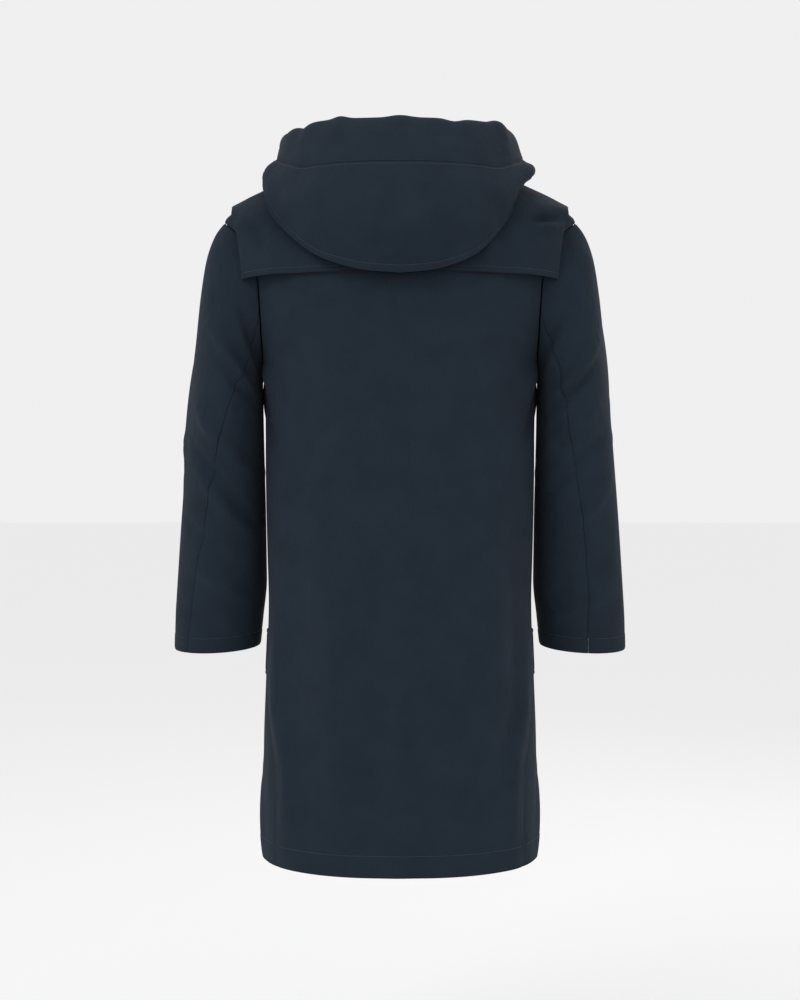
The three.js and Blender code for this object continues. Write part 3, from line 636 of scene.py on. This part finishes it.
YOKE_FOLDS = (
    (0.03, 0.52, 0.13, 0.60, 7, -3.6), (0.03, 0.60, 0.12, 0.63, 7, 2.8),
    (0.97, 0.50, 0.88, 0.62, 8, 2.2), (0.95, 0.60, 0.88, 0.80, 9, -2.0),
    (0.08, 0.72, 0.16, 0.97, 12, 1.8), (0.90, 0.75, 0.84, 0.98, 12, 1.6),
    (0.20, 0.15, 0.26, 0.45, 14, 1.6), (0.80, 0.15, 0.74, 0.45, 14, 1.6),
    (0.24, 0.70, 0.27, 0.98, 14, 1.8), (0.76, 0.72, 0.72, 0.98, 14, 1.6),
)


class COAT_OT_yoke(bpy.types.Operator):
    """Lay the storm yoke over the shoulders, its lower edges free and topstitched"""
    bl_idname = "coat.yoke"
    bl_label = "Storm yoke"

    def execute(self, context):
        def back(u, v):
            z = mix(0, YOKE_HEM_Z, v)
            edge = yoke_angle(z) - SEAM_ANGLE
            angle = turn(-edge, edge, u)
            out = yoke_out(angle, z)
            return body_out(angle, z - neck_dip(angle, 90.0, z), out)

        piece, outer = wall("Yoke_back", back, 160, 70, folds=YOKE_FOLDS, hem=(0, YOKE_HEM, 0, 0))
        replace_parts(piece, "yoke_back")
        lines = [seam_line(outer, False, YOKE_HEM, "bottom")]
        for side, name in ((1, "left"), (-1, "right")):
            end = -OVERLAP + 6 if side > 0 else OVERLAP + 12

            def front(u, v, side=side, end=end):
                z = mix(0, FRONT_YOKE_HEM_Z, v)
                start = 180 - yoke_angle(z) + SEAM_ANGLE
                low = z - neck_dip(180.0, 90.0, z)
                angle = turn(start, front_angle(end, low), u)
                return front_point(side, angle, z - neck_dip(angle, 90.0, z), yoke_out(angle, z))
            flip = side < 0
            piece, outer = wall(f"Yoke_front_{name}", front, 90, 70, flip=flip,
                                hem=(0, YOKE_HEM, 0, YOKE_HEM),
                                folds=YOKE_FOLDS[2:8])
            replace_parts(piece, f"yoke_front_{name}")
            lines += [seam_line(outer, flip, YOKE_HEM, edge) for edge in ("bottom", "end")]
        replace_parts(stitches("Yoke_stitches", lines, context.scene.coat.stitch_pitch))
        return {"FINISHED"}


# Creases of the sleeves: from section, angle to section, angle; width and height in mm.
LEFT_CREASES = (
    (3.3, 60, 3.9, 150, 9, 2.6), (3.9, 75, 4.3, 150, 8, -2.4), (1.6, 95, 2.6, 150, 9, 2.2),
    (5.3, 50, 6.3, 140, 11, 3.4), (5.9, 45, 6.9, 135, 9, -3.2), (6.3, 60, 7.2, 140, 10, 3.0),
    (6.9, 30, 7.6, 110, 11, -2.4), (7.6, 60, 8.4, 130, 12, 2.2), (5.0, -60, 6.0, 10, 12, 2.6),
    (5.8, -80, 6.6, -10, 11, -2.4), (6.2, 200, 6.8, 260, 10, 2.4), (8.6, 40, 9.3, 110, 12, -1.8),
    (4.4, 0, 6.4, 12, 18, 1.8), (7.0, -40, 8.6, -20, 16, 2.0), (2.4, -30, 3.8, -60, 14, 1.8),
)
RIGHT_CREASES = (
    (3.9, 45, 4.5, 140, 9, 3.2), (4.3, 60, 4.9, 150, 8, -2.6), (5.2, 60, 5.8, 150, 9, 2.8),
    (5.7, 50, 6.6, 145, 10, -2.8), (6.4, 40, 7.2, 120, 11, 2.6), (1.8, 95, 2.8, 145, 10, 2.0),
    (7.4, 50, 8.2, 130, 12, -2.0), (8.2, 60, 8.9, 140, 12, 2.0), (5.0, -70, 5.8, 0, 12, 2.6),
    (5.6, -80, 6.6, -20, 11, -2.6), (6.2, 200, 6.8, 262, 10, 2.2), (3.0, -20, 5.2, 5, 18, 1.8),
    (7.0, -50, 8.8, -25, 16, 2.0),
)


def sleeve_wall(name, place, nu, side, creases):
    """A sleeve piece: place(u, v) moved out by creases that are given by section and angle, so that
    they cross the seams between its two pieces."""
    flip = side > 0

    def creased(u, v):
        flat = place(u, v)
        raised = fold_height(flat, creases, lambda n, angle: sleeve_point(side, n, angle))
        return flat + grid_normals(flat, flip) * raised[..., None]

    return wall(name, creased, nu, SLEEVE_ROWS, flip=flip, hem=(0, CUFF_HEM, 0, 0))


class COAT_OT_sleeves(bpy.types.Operator):
    """Sew the two-piece sleeves, creased at the elbows, with turned and stitched cuffs"""
    bl_idname = "coat.sleeves"
    bl_label = "Sleeves"

    def execute(self, context):
        lines = []
        for side, name, creases in ((1, "left", LEFT_CREASES), (-1, "right", RIGHT_CREASES)):
            seam = sleeve[name]
            parts = (
                ("upper", 84, lambda n: FRONT_SLEEVE_SEAM - 360 + 0 * n, seam),
                ("under", 52, seam, lambda n: FRONT_SLEEVE_SEAM + 0 * n),
            )
            for part, nu, start, end in parts:
                def place(u, v, side=side, start=start, end=end):
                    n = SLEEVE_SECTIONS * mix(v, v ** 1.25, 0.5)
                    first, last = start(n) + SLEEVE_SEAM_ANGLE, end(n) - SLEEVE_SEAM_ANGLE
                    return sleeve_point(side, n, mix(first, last, u))

                piece, outer = sleeve_wall(f"Sleeve_{name}_{part}", place, nu, side, creases)
                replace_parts(piece, f"sleeve_{name}_{part}")
                lines.append(seam_line(outer, side > 0, CUFF_HEM, "bottom"))
        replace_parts(stitches("Cuff_stitches", lines, context.scene.coat.stitch_pitch))
        return {"FINISHED"}


HOOD_FOLDS = (
    (0.47, 0.45, 0.53, 0.62, 16, 2.0), (0.40, 0.80, 0.44, 0.40, 18, -1.8),
    (0.62, 0.85, 0.57, 0.35, 20, 2.2), (0.31, 0.30, 0.36, 0.85, 13, 3.2),
    (0.27, 0.35, 0.31, 0.85, 10, -2.8), (0.70, 0.25, 0.66, 0.80, 16, 2.2),
    (0.74, 0.30, 0.71, 0.80, 12, -2.0), (0.20, 0.2, 0.24, 0.8, 12, 2.0),
    (0.80, 0.2, 0.77, 0.8, 12, 2.0), (0.12, 0.2, 0.15, 0.8, 10, -1.6),
    (0.88, 0.2, 0.86, 0.8, 10, -1.6),
)
BRIM_FOLDS = (
    (0.50, 0.0, 0.50, 0.7, 18, 1.6), (0.36, 0.1, 0.38, 0.8, 14, 2.0),
    (0.64, 0.1, 0.62, 0.8, 14, -2.0), (0.25, 0.05, 0.28, 0.8, 12, -2.0),
    (0.75, 0.05, 0.73, 0.8, 12, 2.2), (0.15, 0.1, 0.17, 0.8, 12, 2.0),
    (0.86, 0.1, 0.84, 0.8, 12, 1.8), (0.43, 0.3, 0.47, 0.9, 12, -1.6),
    (0.57, 0.3, 0.55, 0.9, 12, 1.6),
)


class COAT_OT_hood(bpy.types.Operator):
    """Hang the hood down the back: the cloth on the yoke, the bulging outer cloth and the brim"""
    bl_idname = "coat.hood"
    bl_label = "Hood"

    def execute(self, context):
        def under(u, v):
            angle = turn(-HOOD_END, HOOD_END, u)
            z = mix(-neck_dip(angle, 90.0, 0 * angle), hood_edge(angle), v)
            return body_out(angle, z, HOOD_UNDER_OUT + yoke_out(angle, z) - YOKE_OUT)

        piece, _ = wall("Hood_under", under, 150, 30, hem=(0, 0, HOOD_END_HEM, HOOD_END_HEM))
        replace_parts(piece, "hood_under")

        def back(u, v):
            return hood_point(turn(-HOOD_END, HOOD_END, u), mix(HOOD_SEAM[0], 0, v))

        def brim(u, v):
            return hood_point(turn(-HOOD_END, HOOD_END, u), mix(1, HOOD_SEAM[1], v))

        piece, outer = wall("Hood_back", back, 240, 80, folds=HOOD_FOLDS,
                            hem=(0, HOOD_HEM, HOOD_END_HEM, HOOD_END_HEM))
        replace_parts(piece, "hood_back")
        lines = [seam_line(outer, False, HOOD_HEM, "bottom"),
                 seam_line(outer, False, BRIM_SEAM_INSET, "top")]
        piece, outer = wall("Hood_brim", brim, 240, 64, folds=BRIM_FOLDS,
                            hem=(BRIM_HEM, 0, HOOD_END_HEM, HOOD_END_HEM))
        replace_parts(piece, "hood_brim")
        lines.append(seam_line(outer, False, BRIM_HEM, "top"))
        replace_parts(stitches("Hood_stitches", lines, context.scene.coat.stitch_pitch))
        return {"FINISHED"}


class COAT_OT_pockets(bpy.types.Operator):
    """Sew the patch pockets and their flaps on the fronts"""
    bl_idname = "coat.pockets"
    bl_label = "Pockets"

    def execute(self, context):
        lines = []
        for side, name in ((1, "left"), (-1, "right")):
            for title, node, shape, out in (
                    ("Pocket", "pocket", POCKET, POCKET_OUT),
                    ("Pocket_flap", "pocket_flap", FLAP, FLAP_OUT)):
                def patch(u, v, side=side, shape=shape, out=out):
                    middle = (shape["from"] + shape["to"]) / 2
                    narrow = 1 - shape["corner"] * np.clip((v - 0.8) / 0.2, 0, 1) ** 2
                    half = (shape["to"] - shape["from"]) / 2 * narrow
                    angle = middle + half * (2 * u - 1)
                    return front_point(side, angle, mix(shape["top"], shape["bottom"], v), out + 0 * u)
                piece, outer = wall(f"{title}_{name}", patch, 44, 60, flip=side < 0,
                                    hem=(POCKET_HEM,) * 4)
                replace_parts(piece, f"{node}_{name}")
                for edge in ("bottom", "start", "end"):
                    lines.append(seam_line(outer, side < 0, POCKET_HEM, edge))
        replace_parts(stitches("Pocket_stitches", lines, context.scene.coat.stitch_pitch))
        return {"FINISHED"}


def strap(name, from_x, to_x, z, half, under, nu, nv):
    """A leather strap: a thin wall over the front, with its outline's half width by distance along."""
    def place(u, v):
        x = mix(from_x, to_x, u)
        return over_front(x, z + half(u) * (1 - 2 * v), under(u) + LEATHER)
    piece, outer = wall(name, place, nu, nv, flip=from_x < to_x, thickness=LEATHER,
                        material="Leather")
    return piece, outer


def leather_loop(name, from_x, to_x, z, under, width=18.0, strand=4.0):
    """A rounded leather strand carried along a path of two straights and two half circles."""
    bend = (width - strand) / 2
    straight = (from_x - to_x) / 2 - width / 2
    length = 4 * straight + 2 * np.pi * bend
    s = np.linspace(0, length, 120, endpoint=False)
    half_circle = np.pi * bend
    a = (s / bend) - np.pi / 2
    b = ((s - half_circle - 2 * straight) / bend) + np.pi / 2
    first, second, third = half_circle, half_circle + 2 * straight, 2 * half_circle + 2 * straight
    legs = [s < first, s < second, s < third]
    x = np.select(legs, [straight + bend * np.cos(a), straight - (s - first),
                         -straight + bend * np.cos(b)], -straight + (s - third))
    y = np.select(legs, [bend * np.sin(a), bend + 0 * s, bend * np.sin(b)], -bend)
    along = unit(np.roll(np.stack([x, y], -1), -1, axis=0) - np.roll(np.stack([x, y], -1), 1, axis=0))
    spin = np.linspace(0, 2 * np.pi, 12, endpoint=False)
    across, up = strand / 2 * np.cos(spin), LEATHER / 2 * (1 + np.sin(spin))
    px = (from_x + to_x) / 2 + x[:, None] + across[None] * along[:, 1:2]
    pz = z + y[:, None] - across[None] * along[:, 0:1]
    points = over_front(px, pz, under + up[None] + 0 * px).reshape(-1, 3)
    i, k = np.meshgrid(np.arange(120), np.arange(12), indexing="ij")
    j, m = (i + 1) % 120, (k + 1) % 12
    faces = np.stack([i * 12 + k, i * 12 + m, j * 12 + m, j * 12 + k], axis=-1).reshape(-1, 4)
    return new_object(name, points, faces, bpy.data.materials["Leather"])


def toggle(name, z, out):
    """A turned toggle: a profile of radii along its length, spun round, with a waist for the thong."""
    above = (3, 4.5, 7, 11, 17, 22, 24.5, 25.6, 26)
    at = np.array((*(-h for h in above[::-1]), 0, *above))
    to_waist = (0.2, 2.0, 3.6, 5.2, 6.4, 7.2, TOGGLE_RADIUS, 6.8, 5.6)
    radius = np.array((*to_waist, TOGGLE_WAIST, *to_waist[::-1]))
    s = np.linspace(0, 1, 72)
    where = np.interp(s, np.linspace(0, 1, len(at)), at)
    r = np.interp(where, at, radius)
    spin = np.linspace(0, 2 * np.pi, 32, endpoint=False)
    x = TOGGLE_X + r[:, None] * np.cos(spin)
    up = r[:, None] * np.sin(spin)
    points = over_front(x, z + where[:, None] + 0 * x, out + up).reshape(-1, 3)
    i, k = np.meshgrid(np.arange(71), np.arange(32), indexing="ij")
    m = (k + 1) % 32
    faces = np.stack([i * 32 + k, (i + 1) * 32 + k, (i + 1) * 32 + m, i * 32 + m], axis=-1).reshape(-1, 4)
    caps = []
    for base, order in ((0, 1), (71 * 32, -1)):
        for k in range(2, 30, 2):
            caps.append([base, base + k, base + k + 1, base + k + 2][::order])
    faces = np.concatenate([faces, np.array(caps)])
    return new_object(name, points, faces, bpy.data.materials["Horn"])


class COAT_OT_fastenings(bpy.types.Operator):
    """Fit the toggles, their thongs, the loops and the leather tabs"""
    bl_idname = "coat.fastenings"
    bl_label = "Toggle fastenings"

    def execute(self, context):
        lines = []
        loop_under = LAYER + LEATHER + GAP
        toggle_out = loop_under + LEATHER + GAP + TOGGLE_RADIUS
        rise = toggle_out - TOGGLE_WAIST - WAIST_GAP - LEATHER - LAYER

        def half(u):
            return mix(*TAB_HALF, smooth(u))

        def flat(u):
            return LAYER + 0 * u

        def rising(u):
            return LAYER + rise * smooth(4 * u - 3)

        for k, z in enumerate(FASTENING_HEIGHTS, 1):
            for side, start, end in TABS:
                piece, outer = strap(f"Tab_{side}_{k}", start, end, z, half, flat, 30, 20)
                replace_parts(piece, f"tab_{side}_{k}")
                flip = start < end
                lines += [seam_line(outer, flip, TAB_HEM, edge)
                          for edge in ("top", "bottom", "start", "end")]
            piece, _ = strap(f"Thong_{k}", *THONG, z, lambda u: THONG_HALF + 0 * u, rising, 24, 6)
            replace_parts(piece, f"thong_{k}")
            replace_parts(leather_loop(f"Loop_{k}", *LOOP, z, loop_under), f"loop_{k}")
            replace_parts(toggle(f"Toggle_{k}", z, toggle_out), f"toggle_{k}")
        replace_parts(stitches("Tab_stitches", lines, TAB_PITCH, TAB_THREAD))
        return {"FINISHED"}


# ---- Stage ------------------------------------------------------------------------------------------

FLOOR_Z, FLOOR_REACH = -1.5, 60.0
CAMERA_DISTANCE, CAMERA_Z = 2.042, -0.497


class COAT_OT_stage(bpy.types.Operator):
    """Lay the pale floor, and set the lights and the camera"""
    bl_idname = "coat.stage"
    bl_label = "Stage"

    def execute(self, context):
        scene = context.scene
        corners = [(x, y, FLOOR_Z) for x, y in ((-1, -1), (1, -1), (1, 1), (-1, 1))]
        mesh = bpy.data.meshes.new("Floor")
        mesh.from_pydata([(x * FLOOR_REACH, y * FLOOR_REACH, z) for x, y, z in corners], [],
                         [(0, 1, 2, 3)])
        paper, _, shader = new_material("Pale paper", (0.95, 0.95, 0.95), 0.9)
        shader.inputs["Specular IOR Level"].default_value = 0.0
        mesh.materials.append(paper)
        floor = bpy.data.objects.new("Floor", mesh)
        scene.collection.objects.link(floor)

        world = bpy.data.worlds.new("Studio")
        world.use_nodes = True
        world.node_tree.nodes["Background"].inputs["Color"].default_value = (1, 1, 1, 1)
        world.node_tree.nodes["Background"].inputs["Strength"].default_value = 0.87
        scene.world = world
        for name, place, size, power in (
                ("Key", (1.5, 1.7, 1.7), 0.9, 16), ("Fill", (-2.4, 2.2, 0.4), 2.2, 1),
                ("Front", (-1.3, -1.9, 1.4), 1.0, 12)):
            light = bpy.data.lights.new(name, "AREA")
            light.size, light.energy = size, power
            lamp = bpy.data.objects.new(name, light)
            spot = np.array(place)
            aim = np.array((0, 0, -0.5)) - spot
            lamp.location = place
            lamp.rotation_euler = (math.atan2(math.hypot(aim[0], aim[1]), -aim[2]), 0,
                                   math.atan2(aim[1], aim[0]) - math.pi / 2)
            scene.collection.objects.link(lamp)

        camera = bpy.data.cameras.new("Camera")
        camera.lens, camera.sensor_width = 50, 36
        eye = bpy.data.objects.new("Camera", camera)
        eye.location = (0, CAMERA_DISTANCE, CAMERA_Z)
        eye.rotation_euler = (math.pi / 2, 0, math.pi)
        scene.collection.objects.link(eye)
        scene.camera = eye
        scene.view_settings.view_transform = "Standard"
        return {"FINISHED"}


class COAT_PT_panel(bpy.types.Panel):
    """Lists the coat's pieces and settings"""
    bl_idname = "COAT_PT_panel"
    bl_label = "Duffle coat"
    bl_space_type = "VIEW_3D"
    bl_region_type = "UI"
    bl_category = "Coat"

    def draw(self, context):
        for name in CoatSettings.__annotations__:
            self.layout.prop(context.scene.coat, name)
        for operator in OPERATORS:
            self.layout.operator(operator.bl_idname)


OPERATORS = (COAT_OT_body, COAT_OT_yoke, COAT_OT_sleeves, COAT_OT_hood, COAT_OT_pockets,
             COAT_OT_fastenings, COAT_OT_stage)
CLASSES = (CoatSettings, *OPERATORS, COAT_PT_panel)


def register():
    """Register the coat's settings, operators and panel."""
    for cls in CLASSES:
        bpy.utils.register_class(cls)
    bpy.types.Scene.coat = bpy.props.PointerProperty(type=CoatSettings)


def unregister():
    """Take away what register added, in the reverse order."""
    del bpy.types.Scene.coat
    for cls in reversed(CLASSES):
        bpy.utils.unregister_class(cls)


def main():
    """Build the coat by its operators, in order."""
    register()
    make_materials(bpy.context.scene.coat)
    bpy.ops.coat.body()
    bpy.ops.coat.yoke()
    bpy.ops.coat.sleeves()
    bpy.ops.coat.hood()
    bpy.ops.coat.pockets()
    bpy.ops.coat.fastenings()
    bpy.ops.coat.stage()


if __name__ == "__main__":
    main()
